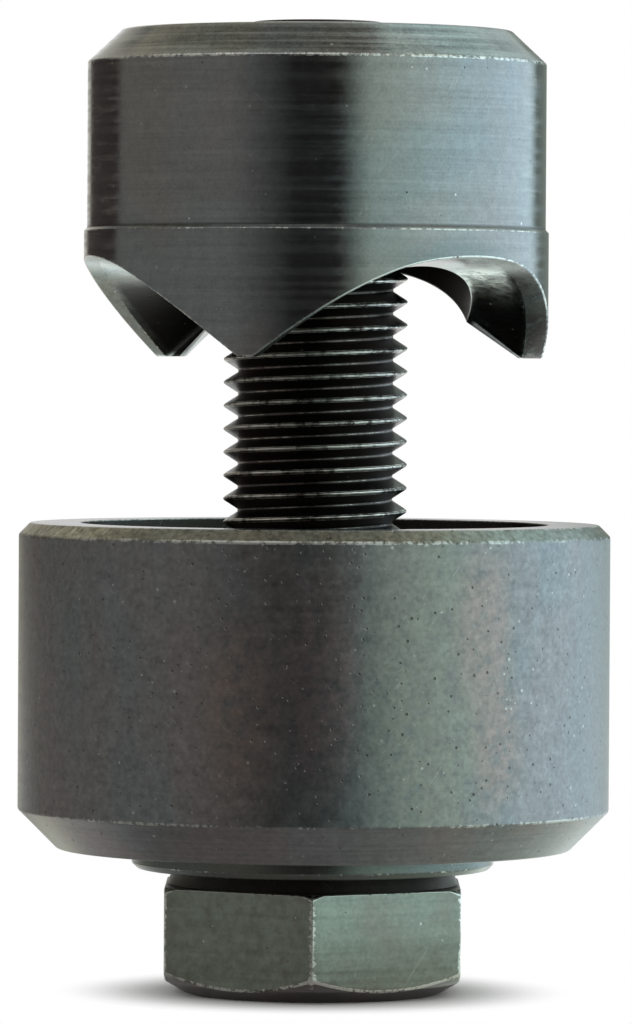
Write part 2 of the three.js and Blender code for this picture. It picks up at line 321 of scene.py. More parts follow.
# Blackened steel off the lathe: turning marks run round the axis on sides and faces alike
def turnedSteel(name, look):
    steel = Finish(bpy.data.materials.new(name))
    place = steel.place()
    x, y, z = steel.split(place)
    radius = steel.length(steel.joined(x, y, 0.0))
    travel = z + look["faceFeed"] * radius  # how far the lathe tool has fed along the profile

    def marks(frequency, length, detail=3.0):
        return steel.noise(steel.joined(x / length, y / length, travel * frequency), detail=detail)

    fine = marks(look["markFrequency"], look["markLength"])
    bands = marks(look["bandFrequency"], look["markLength"] * 2, detail=2.0)
    bands = steel.ramp(bands, *look["bandLimits"])
    mottle = steel.noise(place, look["mottleFrequency"], detail=4.0, roughness=0.6)
    grain = steel.noise(place, look["grainFrequency"])
    squashed = steel.joined(x, y, z / look["cloudHeight"])
    cloud = steel.noise(squashed, look["cloudFrequency"], detail=3.0, distortion=0.4)
    patch = steel.noise(place, look["patchFrequency"])
    pits = steel.spots(place, look["pitFrequency"], look["pitShare"], look["pitRadius"])
    flecks = steel.spots(place, look["fleckFrequency"], look["fleckShare"], look["fleckRadius"])
    flecks = flecks * steel.ramp(patch, *look["fleckLimits"])
    rubs = sum(spot * strength for spot, strength in steel.spotsAt(place, look["rubs"]))
    rubs = rubs * steel.ramp(marks(look["rubFrequency"], look["rubLength"]), *look["rubLimits"])
    streaks = sum(steel.scratches(place, direction, look["scratchWidth"], length, look["scratchShare"])
                  for direction, length in look["scratches"])

    # The wear attribute holds bare edges above 0 and painted shade below 0
    edge = steel.attribute("wear")
    chips = steel.noise(place, look["chipFrequency"], detail=3.0, roughness=0.65)
    worn = edge * look["edgeShare"] + chips * look["chipShare"] + (patch - 0.5) * look["wearPatches"]
    wear = steel.ramp(worn, look["wearFrom"], look["wearTo"]) * steel.ramp(edge, *look["edgeLimits"])
    # Painted shade: negative wear darkens the film in recesses and creases
    paintedShade = (-1 * edge).clamped()
    light = wear + flecks * look["fleckStrength"] + streaks * look["scratchStrength"] + rubs
    light = light.clamped()

    film = steel.blend(steel.ramp(cloud, *look["cloudLimits"]), look["warmFilm"], look["coolFilm"])
    patchy = steel.ramp(mottle, *look["filmMarkLimits"])
    for spot, tint in steel.spotsAt(place, look["filmMarks"]):
        film = steel.blend(spot * patchy, film, tint)
    shade = (1 + look["bandShade"] * (bands - 0.5) + look["markShade"] * (fine - 0.5)
             + look["mottleShade"] * (mottle - 0.5) + look["grainShade"] * (grain - 0.5))
    film = steel.blend(1.0, film, steel.joined(shade, shade, shade), "MULTIPLY")
    dents = sum(spot for spot, in steel.spotsAt(place, look["nicks"]))
    dark = (pits * look["pitStrength"] + dents * look["nickStrength"]).clamped()
    film = steel.blend(dark, film, look["pitColour"])
    film = steel.blend(paintedShade, film, look["paintedShadeColour"])
    colour = steel.blend(light, film, look["bareColour"])

    roughness = (look["roughness"] + look["roughnessSpread"] * (mottle - 0.5)
                 + look["bandRoughness"] * (bands - 0.5) + look["pitRoughness"] * pits
                 + look["bareRoughness"] * light + look["paintedShadeRoughness"] * paintedShade)
    height = (look["markDepth"] * fine + look["bandDepth"] * bands
              + look["mottleDepth"] * mottle + look["grainDepth"] * grain
              - look["pitDepth"] * pits - look["chipDepth"] * wear - look["nickDepth"] * dents)
    bump = steel.add("ShaderNodeBump", inputs={"Strength": 1.0, "Distance": mm, "Height": height})
    return metalSurface(steel, colour, roughness, bump)


def metalSurface(finish, colour, roughness, bump):
    surface = finish.add("ShaderNodeBsdfPrincipled", inputs={
        "Base Color": colour, "Metallic": 1.0, "Roughness": roughness.clamped(), "Normal": bump})
    finish.add("ShaderNodeOutputMaterial", inputs={"Surface": surface})
    return finish.owner


# Frequencies are per millimetre. A shade is how far a texture lightens and darkens the film, and
# limits are the values of its noise at which a texture starts and is full.
punchFinish = {
    "warmFilm": (0.222, 0.214, 0.203), "coolFilm": (0.207, 0.221, 0.220),
    "bareColour": (0.55, 0.55, 0.50), "pitColour": (0.022, 0.018, 0.016),
    # dark colour and extra roughness of the painted shade in recesses and creases
    "paintedShadeColour": (0.020, 0.016, 0.014), "paintedShadeRoughness": 0.15,
    "faceFeed": 1.9, "markLength": 9.0,
    "markFrequency": 5.5, "markDepth": 0.0020, "markShade": 0.36,
    "bandFrequency": 2.0, "bandDepth": 0.0013, "bandShade": 0.09, "bandRoughness": 0.10,
    "bandLimits": (0.35, 0.65),
    "mottleFrequency": 1.6, "mottleDepth": 0.003, "mottleShade": 0.42,
    "grainFrequency": 6.0, "grainDepth": 0.0008, "grainShade": 0.40,
    "cloudFrequency": 0.16, "cloudHeight": 2.0, "cloudLimits": (0.38, 0.62), "patchFrequency": 0.22,
    "pitFrequency": 1.4, "pitShare": 0.14, "pitRadius": 0.14, "pitDepth": 0.01, "pitStrength": 0.7,
    "pitRoughness": 0.15,
    "fleckFrequency": 1.0, "fleckShare": 0.30, "fleckRadius": 0.14, "fleckStrength": 0.8,
    "fleckLimits": (0.44, 0.58),
    # a direction and how many widths long
    "scratches": (((0.50, 0.30, 0.81), 30.0), ((-0.72, 0.20, 0.66), 22.0)),
    "scratchWidth": 0.09, "scratchShare": 0.26, "scratchStrength": 0.14,
    "edgeShare": 0.75, "edgeLimits": (0.05, 0.5),
    "chipShare": 0.9, "chipFrequency": 3.2, "chipDepth": 0.006,
    "wearPatches": 0.5, "wearFrom": 1.08, "wearTo": 1.26, "bareRoughness": 0.1,
    # azimuth, radius, height, reach, stretch, and a film colour or a strength; nicks have none
    "filmMarks": ((36, 15.0, 47.4, 6.5, (1, 1, 0.22), (0.165, 0.177, 0.172)),),
    "filmMarkLimits": (0.2, 0.6),
    "rubs": ((-67, 14.8, 54, 3.4, (1, 1, 4), 0.34), (1, 14.8, 53, 4.0, (1, 1, 2), 0.09),
             (70, 14.8, 53, 3.0, (1, 1, 4), 0.20)),
    "rubFrequency": 2.3, "rubLength": 4.0, "rubLimits": (0.50, 0.66),
    "nicks": ((36.2, 15.0, 47.27, 0.20, (1, 1, 1)), (37.8, 15.0, 47.08, 0.22, (1, 1, 1)),
              (-67.1, 15.0, 46.95, 0.18, (1, 1, 1))),
    "nickDepth": 0.08, "nickStrength": 0.9,
    "roughness": 0.175, "roughnessSpread": 0.10,
}
chamferFinish = {
    **punchFinish,
    "markShade": 0.8, "bandFrequency": 3.2, "bandShade": 0.55, "bandDepth": 0.0034, "mottleShade": 0.8,
    "grainShade": 0.8, "rubs": (), "filmMarks": (),
}
gulletFinish = {
    **punchFinish,
    "warmFilm": (0.192, 0.192, 0.172), "coolFilm": (0.185, 0.212, 0.204), "cloudFrequency": 0.5,
    # the film mark here is a painted highlight in one gullet
    "filmMarks": ((71, 11.6, 45.1, 3.6, (1, 1, 1), (0.70, 0.74, 0.67)),),
    "markDepth": 0.0, "markShade": 0.0, "bandDepth": 0.0, "bandShade": 0.0, "bandRoughness": 0.0,
    "mottleFrequency": 1.3, "mottleDepth": 0.014, "mottleShade": 1.1,
    "grainDepth": 0.0020, "grainShade": 0.8,
    "pitShare": 0.60, "pitColour": (0.060, 0.046, 0.032), "scratchStrength": 0.0, "rubs": (),
    "roughness": 0.18,
}
landFinish = {
    **gulletFinish,
    "warmFilm": (0.22, 0.225, 0.20), "coolFilm": (0.21, 0.235, 0.22),
    # these two film marks are painted shade on the land
    "filmMarks": ((93, 14.3, 42.4, 4.8, (1, 1, 1), (0.050, 0.042, 0.040)),
                  (97, 14.3, 42.6, 3.6, (1, 1, 1), (0.050, 0.042, 0.040))),
    "mottleDepth": 0.005, "roughness": 0.28,
}
strawFilm = (0.232, 0.190, 0.172)
dieFinish = {
    **punchFinish,
    "warmFilm": (0.203, 0.190, 0.184), "coolFilm": (0.184, 0.194, 0.194),
    "bareColour": (0.46, 0.46, 0.42),
    "filmMarks": ((24, 19.1, 20, 6.5, (1, 1, 2.6), (0.190, 0.190, 0.164)),
                  (72, 19.1, 20, 7.5, (1, 1, 2.6), (0.166, 0.172, 0.166)),
                  # the next mark is a painted reflection: a lighter olive band at the die's left edge
                  (-83, 19.1, 20, 2.6, (1, 1, 12), (0.27, 0.27, 0.20)),
                  (34, 19.1, 24, 3.0, (1, 1, 2.4), strawFilm),
                  (37, 19.1, 17, 2.6, (1, 1, 2.4), strawFilm),
                  (1, 19.1, 21, 3.4, (1, 1, 3.0), (0.225, 0.178, 0.180)),
                  (-14, 19.1, 19, 3.4, (1, 1, 2.4), strawFilm),
                  (150, 19.1, 20, 4.0, (1, 1, 2.4), strawFilm),
                  (-130, 19.1, 17, 4.5, (1, 1, 2.4), strawFilm)),
    "nicks": (), "rubs": (),
    "markDepth": 0.0012, "markShade": 0.12,
    "bandDepth": 0.0005, "bandShade": 0.05, "bandRoughness": 0.03,
    "mottleFrequency": 1.2, "mottleDepth": 0.013, "mottleShade": 0.85,
    "grainFrequency": 3.2, "grainDepth": 0.0060, "grainShade": 0.65,
    "cloudFrequency": 0.20, "cloudHeight": 3.2,
    "pitFrequency": 1.6, "pitShare": 0.80, "pitRadius": 0.20, "pitDepth": 0.045, "pitStrength": 0.45,
    "fleckFrequency": 1.3, "fleckShare": 0.95, "fleckRadius": 0.18, "fleckStrength": 0.8,
    "scratchShare": 0.285, "scratchStrength": 0.2, "wearPatches": 0.8,
    "roughness": 0.38, "roughnessSpread": 0.12,
}
dieChamferFinish = {
    **dieFinish,
    "warmFilm": (0.180, 0.163, 0.126), "coolFilm": (0.172, 0.176, 0.146),
    # painted reflection: these marks lighten the chamfer at the left and make it greener at the right
    "filmMarks": ((52, 18.7, 30, 10.0, (1, 1, 1), (0.190, 0.206, 0.186)),
                  (-66, 18.7, 30, 10.5, (1, 1, 1), (0.44, 0.41, 0.32))),
    "mottleShade": 1.2, "grainShade": 1.4,
}
dieFootFinish = {
    **dieFinish,
    "filmMarks": (), "mottleDepth": 0.006, "mottleShade": 0.6, "grainDepth": 0.0025, "grainShade": 0.4,
    "markShade": 0.25, "bandShade": 0.15, "pitShare": 0.4,
}
dieGroundFinish = {
    **dieFinish,
    "filmMarks": (),
    "markDepth": 0.0, "bandDepth": 0.0, "mottleDepth": 0.006, "grainDepth": 0.003, "pitDepth": 0.01,
    "roughness": 0.24, "roughnessSpread": 0.10,
}
boltFinish = {
    **punchFinish,
    "warmFilm": (0.184, 0.180, 0.152), "coolFilm": (0.190, 0.205, 0.171),
    "faceFeed": 0.0, "markLength": 14.0,
    "markShade": 0.22, "bandShade": 0.12, "bandRoughness": 0.05,
    "markDepth": 0.0008, "bandDepth": 0.0004,
    "mottleFrequency": 1.3, "mottleDepth": 0.004, "mottleShade": 0.45,
    "grainFrequency": 4.0, "grainDepth": 0.0012, "grainShade": 0.45,
    "cloudFrequency": 0.25, "cloudHeight": 1.0,
    "pitShare": 0.12, "pitRadius": 0.15,
    "fleckFrequency": 1.3, "fleckShare": 0.45, "fleckRadius": 0.13,
    "wearPatches": 0.7, "wearFrom": 0.98, "wearTo": 1.14, "nicks": (), "rubs": (),
    "filmMarks": ((-30, 10.0, 3.5, 8.5, (1, 1, 1), (0.220, 0.252, 0.208)),),
    "roughness": 0.20,
}
# Painted shade: a darker film for the hex's cone, its top shoulder and the collar, which lie in shade
shadedBoltFinish = {
    **boltFinish,
    "warmFilm": (0.098, 0.082, 0.074), "coolFilm": (0.086, 0.080, 0.074), "filmMarks": (),
    "roughness": 0.34,
}
# Painted shade: a darker film inside the die's cup
shadedCupFinish = {**shadedBoltFinish, "warmFilm": (0.055, 0.047, 0.038), "coolFilm": (0.050, 0.047, 0.040)}
threadFinish = {
    **shadedBoltFinish,
    "warmFilm": (0.058, 0.045, 0.040), "coolFilm": (0.056, 0.050, 0.045),
    # the crests are rubbed bare, and their bare colour is brightened further as a painted highlight
    "bareColour": (0.86, 0.83, 0.75), "chipFrequency": 2.0, "wearPatches": 0.9, "wearTo": 1.30,
}
# Painted shade: a near-black film for the punch's cavity and bore, where shade falls
shadedBoreFinish = {
    **threadFinish,
    "warmFilm": (0.030, 0.025, 0.022), "coolFilm": (0.028, 0.026, 0.023), "roughness": 0.45,
}
# Painted shade: a darker film for the bearing races, which lie in the die's shadow
shadedRaceFinish = {
    **punchFinish,
    "warmFilm": (0.116, 0.117, 0.104), "coolFilm": (0.108, 0.121, 0.107),
    "mottleDepth": 0.004, "filmMarks": (), "nicks": (), "rubs": (), "roughness": 0.30,
}
steelFinishes = {
    "punchSteel": punchFinish, "chamferSteel": chamferFinish, "gulletSteel": gulletFinish,
    "landSteel": landFinish, "dieSteel": dieFinish, "dieGroundSteel": dieGroundFinish,
    "dieChamferSteel": dieChamferFinish, "dieFootSteel": dieFootFinish, "boltSteel": boltFinish,
    "shadedBoltSteel": shadedBoltFinish, "shadedCupSteel": shadedCupFinish, "threadSteel": threadFinish,
    "shadedBoreSteel": shadedBoreFinish, "raceSteel": shadedRaceFinish,
}
steels = {name: turnedSteel(name, look) for name, look in steelFinishes.items()}
print("steel finishes ready:", len(steels))


# The thread that bolt and punch share; start is the height of a crest's middle at azimuth 0
thread = {
    "pitch": 1.5, "crestRadius": 5.925, "rootRadius": 5.0, "flankAngle": 30, "crestShare": 1 / 8,
    "start": 26.25, "stepsPerTurn": 72,
}


# One pitch of a thread's section, its ridge in the middle
def threadSection(rootRadius, crestRadius, crestWidth, rootFillet, crestRound, wear):
    crest = crestWidth / 2
    root = crest + tan(radians(thread["flankAngle"])) * (crestRadius - rootRadius)
    half = thread["pitch"] / 2
    shoulderFillet, topFillet = 0.05, 0.03
    rising = [
        (rootRadius, -half, 0, wear), (rootRadius, -root, rootFillet, 0),
        (crestRadius - crestRound, -crest, shoulderFillet, wear),
        (crestRadius, -crest / 3, topFillet, wear),
    ]
    return rising + [(radius, -offset, *rest) for radius, offset, *rest in reversed(rising)]


punchShape = {
    "cutRadius": 15.0, "bodyRadius": 14.8, "landHeight": 8.07, "landWidths": (1.0, 1.48),
    "toothCount": 3, "toothAzimuth": -17.2, "toothDepth": 6.6, "gulletSpread": 0.6,
    "gulletFloorFall": 0.55, "gulletBoreFall": 4.0, "gulletBoreCurve": 1.9, "landFall": (0.15, 0.35),
    "easyFall": 0.35, "edgeWears": (1.25, 0.9), "turnAngle": 18,
    "valleyEase": 0.25, "easeAngle": 24.0,
    # painted shade: one flank of each gullet and the rows beside the tooth tips get a darker colour
    "paintedShadeAngles": (24, 33), "tipPaintedShadeAngles": (56.6, 58.1), "paintedShade": 0.95, "paintedShadeEnds": (0.15, 0.85),
    "cavityRadius": 10.0, "cavityDepth": 8.55,
    "chamferWidth": 2.24, "chamferHeight": 2.1, "chamferSlope": 0.3, "gulletSlope": -0.25,
    "nutClearance": 0.15, "nutFlankClearance": 0.12, "nutRootClearance": 0.2, "mouthMargin": 0.25,
    "nutRootFillet": 0.06, "nutCrestRound": 0.04,
    "columnsPerGullet": 120, "columnsPerTip": 4,
    # fillet and wear of each corner; the cutting edge has its wear above. The negative wear at the
    # body's foot and in the cavity is painted shade.
    "chamferTop": (0.12, 0.7), "chamferFoot": (0.11, 0.96),
    "bodyFoot": (0.03, -0.6), "landTop": (0.05, 0.9),
    "cuttingFillet": 0.10, "landInner": (0.06, 0.8), "rimFillet": 0.09, "rimWear": 0.7,
    "cavityCorner": (0.9, -0.8), "cavityMouth": (0, -0.8),
}


def punchPiece():
    shape = punchShape
    tip, top = bottomOf("punch"), topOf("punch")
    gulletTop = tip + shape["toothDepth"]
    cavityTop = tip + shape["cavityDepth"]
    landTop = tip + shape["landHeight"]
    gulletAngle = 360 / shape["toothCount"]
    arcRadius = shape["cutRadius"] + shape["gulletSpread"]
    boreRadius = thread["rootRadius"] + shape["nutRootClearance"]
    grooveRadius = thread["crestRadius"] + shape["nutClearance"]
    mouthRadius = grooveRadius + shape["mouthMargin"]
    chamferRadius = shape["bodyRadius"] - shape["chamferWidth"]

    def edgeFall(offset):
        sideways = shape["cutRadius"] * sin(radians(offset))
        ease = shape["valleyEase"] * max(0, 1 - (offset / shape["easeAngle"]) ** 2) ** 2
        return min(shape["toothDepth"], arcRadius - sqrt(arcRadius ** 2 - sideways ** 2) + ease)

    # From the middle of a gullet to the middle of a tooth
    def between(offset, atMiddle, atTooth):
        return mixed(atMiddle, atTooth, (2 * abs(offset) / gulletAngle) ** shape["gulletBoreCurve"])

    def profileAt(azimuth):
        valley = azimuth - shape["toothAzimuth"] - gulletAngle / 2
        offset = valley - gulletAngle * round(valley / gulletAngle)
        edge = gulletTop - edgeFall(offset)
        # The two flanks of a gullet are ground apart: share goes from one to the other over its middle
        share = gained(offset, -shape["turnAngle"], shape["turnAngle"])
        fall = between(offset, *shape["landFall"]) * mixed(shape["easyFall"], 1, share)
        rimFall = between(offset, shape["gulletFloorFall"], shape["gulletBoreFall"])
        step = shape["cutRadius"] - shape["bodyRadius"]
        # Painted shade on one gullet flank and beside the tooth tips, where shade falls
        atTip = gained(abs(offset), *shape["tipPaintedShadeAngles"])
        paintedShade = -shape["paintedShade"] * max(gained(-offset, *shape["paintedShadeAngles"]), atTip)
        landWidth = mixed(*shape["landWidths"], share)
        outer = Vector((shape["cutRadius"] - landWidth, max(edge - fall, tip)))
        inner = Vector((shape["cavityRadius"], gulletTop - shape["valleyEase"] - rimFall))
        return roundedProfile([
            (mouthRadius, top, 0, 0),
            (chamferRadius, top, *shape["chamferTop"]),
            (shape["bodyRadius"], top - shape["chamferHeight"], *shape["chamferFoot"]),
            (shape["bodyRadius"], landTop + 2 * step, 0, 0),
            (shape["bodyRadius"], landTop + step, *shape["bodyFoot"]),
            (shape["cutRadius"], landTop, *shape["landTop"]),
            (shape["cutRadius"], edge, shape["cuttingFillet"], mixed(*shape["edgeWears"], share)),
            (*outer, *shape["landInner"]),
            *[(*outer.lerp(inner, end), 0, paintedShade) for end in shape["paintedShadeEnds"]],
            (*inner, shape["rimFillet"], shape["rimWear"] * (1 - atTip)),
            (shape["cavityRadius"], cavityTop, *shape["cavityCorner"]),
            (mouthRadius, cavityTop, *shape["cavityMouth"]),
        ])

    # Columns meet the corner where the gullet's arc runs into the flat tooth tip
    arcDrop = sqrt(arcRadius ** 2 - (arcRadius - shape["toothDepth"]) ** 2) / shape["cutRadius"]
    tipStart = degrees(atan(arcDrop / sqrt(1 - arcDrop ** 2)))
    tipAngle = gulletAngle - 2 * tipStart
    tipColumns = shape["columnsPerTip"]
    arcColumns = shape["columnsPerGullet"] - tipColumns
    offsets = [tipStart * (2 * step / arcColumns - 1) for step in range(arcColumns)]
    offsets += [tipStart + tipAngle * step / tipColumns for step in range(tipColumns)]
    firstValley = shape["toothAzimuth"] + gulletAngle / 2
    azimuths = [firstValley + gulletAngle * gullet + offset
                for gullet in range(shape["toothCount"]) for offset in offsets]

    shell = bmesh.new()
    addTurned(shell, azimuths, profileAt)
    taper = 2 * tan(radians(thread["flankAngle"])) * shape["nutClearance"]
    grooveWidth = thread["pitch"] * thread["crestShare"] + 2 * shape["nutFlankClearance"] - taper
    section = threadSection(boreRadius, grooveRadius, grooveWidth,
                            shape["nutRootFillet"], shape["nutCrestRound"], 0)

    def countersunk(radius, height):
        return max(radius, mouthRadius - (top - height), mouthRadius - (height - cavityTop))

    addThread(shell, section, cavityTop, top, countersunk)
    piece = finishPiece("punchBody", shell, "punchSteel", "punch", "punch")

    def faceFinish(radius, height, upward):
        if upward > shape["chamferSlope"] and radius > chamferRadius:
            return "chamferSteel"
        if radius < shape["cavityRadius"] + slack and height < cavityTop + slack:
            return "shadedBoreSteel"
        if height > landTop or upward > shape["gulletSlope"]:
            return "punchSteel"
        return "landSteel" if radius > shape["cutRadius"] - shape["landWidths"][0] else "gulletSteel"

    dressFaces(piece, faceFinish)


dieShape = {
    "radius": 19.1, "footChamfer": 2.5, "topChamfer": 0.75,
    "cupRadius": 15.1, "cupDepth": 10.5,
    "holeRadius": 6.35, "seatRadius": 12.05, "seatDepth": 5.3,
    "ringSlope": 0.9, "chamferSlope": 0.3, "columns": 240,
    # fillet and wear of each corner; the negative wear in the cup, hole and seat is painted shade
    "footInner": (0.12, 0.7), "footOuter": (0.10, 0.9), "rimOuter": (0.12, 0.9),
    "rimTop": (0.07, 1.0), "cupRim": (0.06, 1.0), "cupCorner": (0.6, -0.8), "holeTop": (0.12, -0.4),
    "holeFoot": (0.12, -0.8), "seatCorner": (0.2, -0.8), "seatRim": (0.12, 0.3),
}


def diePiece():
    shape = dieShape
    bottom, top = bottomOf("die"), topOf("die")
    floor = top - shape["cupDepth"]
    seatTop = bottom + shape["seatDepth"]
    rows = roundedProfile([
        (shape["radius"] - shape["footChamfer"], bottom, *shape["footInner"]),
        (shape["radius"], bottom + shape["footChamfer"], *shape["footOuter"]),
        (shape["radius"], top - shape["topChamfer"], *shape["rimOuter"]),
        (shape["radius"] - shape["topChamfer"], top, *shape["rimTop"]),
        (shape["cupRadius"], top, *shape["cupRim"]),
        (shape["cupRadius"], floor, *shape["cupCorner"]),
        (shape["holeRadius"], floor, *shape["holeTop"]),
        (shape["holeRadius"], seatTop, *shape["holeFoot"]),
        (shape["seatRadius"], seatTop, *shape["seatCorner"]),
        (shape["seatRadius"], bottom, *shape["seatRim"]),
    ], closed=True)
    shell = bmesh.new()
    addTurned(shell, evenAzimuths(shape["columns"]), lambda azimuth: rows)
    piece = finishPiece("dieBody", shell, "dieSteel", "die", "die")

    def faceFinish(radius, height, upward):
        if upward > shape["ringSlope"] and height > floor + slack:
            return "dieGroundSteel"
        if upward > shape["chamferSlope"] and radius > shape["cupRadius"]:
            return "dieChamferSteel"
        if upward < -shape["chamferSlope"] and height < bottom + shape["footChamfer"]:
            return "dieFootSteel"
        inCup = radius < shape["cupRadius"] + slack and height < top - slack
        return "shadedCupSteel" if inCup else "dieSteel"

    dressFaces(piece, faceFinish)


boltShape = {
    "sides": 6, "acrossFlats": 19.0, "hexHeight": 7.05, "cornerFillet": 0.3, "footRadius": 8.25,
    "shoulderRadius": 10.6, "chamferAngle": 30, "chamferSlope": 0.3, "edgeBreak": 0.08,
    "rubbedAngle": 3.4, "rubbedWear": 0.9, "rubbedInset": 0.3,
    "collarFootRadius": 9.4, "collarTopRadius": 9.0, "collarHeight": 0.98,
    "shankRadius": 6.0, "shankLength": 18.97, "endRadius": 4.1,
    "crestWidth": 0.26, "rootFillet": 0.07, "crestRound": 0.09, "threadWear": 1.0,
    "columnsPerFlat": 24,
    # fillet and wear of each corner; the negative wear at the collar's and shank's feet is painted
    # shade
    "foot": (0.2, 0.5), "hexFoot": (0.13, 0.90), "hexTop": (0.10, 0.90), "shoulder": (0.06, 1.0),
    "collarFoot": (0, -0.3), "collarTop": (0.1, 0.3), "shankFoot": (0, -0.3), "endWear": 0.3,
}


halfSide = 180 / boltShape["sides"]  # degrees from a corner, as at azimuth 0, to a flat's middle


# Degrees from the middle of the nearest flat
def fromFlat(azimuth):
    return azimuth - 2 * halfSide * round((azimuth - halfSide) / (2 * halfSide)) - halfSide


# Distance from the axis to the hexagon, whose corners are rounded
def hexRadius(azimuth):
    fillet, flat = boltShape["cornerFillet"], boltShape["acrossFlats"] / 2
    offset = fromFlat(azimuth)
    inner = flat - fillet
    if abs(offset) <= degrees(atan(inner * tan(radians(halfSide)) / flat)):
        return flat / cos(radians(offset))
    centre = inner / cos(radians(halfSide))
    beta = radians(halfSide - abs(offset))
    return centre * cos(beta) + sqrt(fillet ** 2 - (centre * sin(beta)) ** 2)


def boltPiece():
    shape = boltShape
    hexTop = shape["hexHeight"]
    headTop = hexTop + shape["collarHeight"]
    shankTop = headTop + shape["shankLength"]
    top = topOf("draw_bolt")
    slope = tan(radians(shape["chamferAngle"]))

    def headAt(azimuth):
        reach = hexRadius(azimuth)
        over = max(reach - shape["shoulderRadius"], 0)
        aside = halfSide - abs(fromFlat(azimuth))
        rubbed = shape["rubbedWear"] * max(1 - aside / shape["rubbedAngle"], 0)
        rubbedFrom = shape["shoulderRadius"] - shape["rubbedInset"]
        rows = roundedProfile([
            (0, 0, 0, 0),
            (shape["footRadius"], 0, *shape["foot"]),
            (reach, (reach - shape["footRadius"]) * slope, *shape["hexFoot"]),
            (reach, hexTop - over * slope - shape["edgeBreak"], *shape["hexTop"]),
            (reach - over - shape["edgeBreak"], hexTop, *shape["shoulder"]),
            (shape["collarFootRadius"], hexTop, *shape["collarFoot"]),
            (shape["collarTopRadius"], headTop, *shape["collarTop"]),
            (shape["shankRadius"], headTop, *shape["shankFoot"]),
        ])
        return [(radius, height, max(wear, rubbed) if radius > rubbedFrom else wear)
                for radius, height, wear in rows]

    # Columns gather at the hexagon's corners
    azimuths = []
    for flat in range(shape["sides"]):
        for step in range(shape["columnsPerFlat"]):
            share = step / shape["columnsPerFlat"] * 2 - 1
            azimuths.append(halfSide * (2 * flat + 1 + sin(share * pi / 2)))
    shell = bmesh.new()
    addTurned(shell, azimuths, headAt)

    turn = evenAzimuths(thread["stepsPerTurn"])
    addTurned(shell, turn, lambda azimuth: [
        (shape["shankRadius"], headTop, 0), (shape["shankRadius"], shankTop, 0)])
    addTurned(shell, turn, lambda azimuth: [(shape["endRadius"], top, shape["endWear"]), (0, top, 0)])
    section = threadSection(thread["rootRadius"], thread["crestRadius"], shape["crestWidth"],
                            shape["rootFillet"], shape["crestRound"], shape["threadWear"])

    def trimmed(radius, height):
        return min(max(radius, shape["shankRadius"] - (height - shankTop)),
                   shape["endRadius"] + top - height)

    addThread(shell, section, shankTop, top, trimmed)
    piece = finishPiece("drawBolt", shell, "boltSteel", "bolt", "draw_bolt")

    def faceFinish(radius, height, upward):
        if height > headTop:
            return "threadSteel"
        # faces under the head or above the hexagon get the painted shade
        shadedFace = abs(upward) > shape["chamferSlope"] or height > hexTop
        return "shadedBoltSteel" if shadedFace else "boltSteel"

    dressFaces(piece, faceFinish)


lowerRaceShape = {
    "radius": 11.725, "boreRadius": 6.25, "edgeBreak": 0.35,
    "grooveCircle": 8.95, "grooveRadius": 1.6, "grooveDepth": 0.55, "grooveSteps": 10,
    "columns": 180,
    # fillet and wear of each corner
    "bore": (0.1, 0), "foot": (0.1, 0.4), "footSide": (0.06, 0.75), "topSide": (0.12, 0.4),
}


def lowerRacePiece():
    shape = lowerRaceShape
    bottom, top = bottomOf("lower_race"), topOf("lower_race")
    centre = top + shape["grooveRadius"] - shape["grooveDepth"]
    half = sqrt(shape["grooveRadius"] ** 2 - (shape["grooveRadius"] - shape["grooveDepth"]) ** 2)
    groove = []
    for step in range(shape["grooveSteps"] + 1):
        aside = half * (1 - 2 * step / shape["grooveSteps"])
        height = centre - sqrt(shape["grooveRadius"] ** 2 - aside ** 2)
        groove.append((shape["grooveCircle"] + aside, height, 0, 0))
    rows = roundedProfile([
        (shape["boreRadius"], bottom, *shape["bore"]),
        (shape["radius"] - shape["edgeBreak"], bottom, *shape["foot"]),
        (shape["radius"], bottom + shape["edgeBreak"], *shape["footSide"]),
        (shape["radius"], top, *shape["topSide"]),
        *groove,
        (shape["boreRadius"], top, *shape["bore"]),
    ], closed=True)
    shell = bmesh.new()
    addTurned(shell, evenAzimuths(shape["columns"]), lambda azimuth: rows)
    finishPiece("lowerRace", shell, "raceSteel", "bolt", "lower_race")


punchPiece()
diePiece()
boltPiece()
lowerRacePiece()


# The bearing's inner pieces stay as packed, with finishes of their own
def plainMetal(name, look):
    metal = Finish(bpy.data.materials.new(name))
    place = metal.place()
    grain = metal.noise(place, look["grainFrequency"], detail=4.0, roughness=0.6)
    cloud = metal.noise(place, look["cloudFrequency"])
    share = metal.ramp(cloud, *look["cloudLimits"])
    colour = metal.blend(share, look["darkColour"], look["paleColour"])
    roughness = look["roughness"] + look["roughnessSpread"] * (grain - 0.5)
    bump = metal.add("ShaderNodeBump", inputs={
        "Strength": 1.0, "Distance": mm, "Height": look["grainDepth"] * grain})
    return metalSurface(metal, colour, roughness, bump)


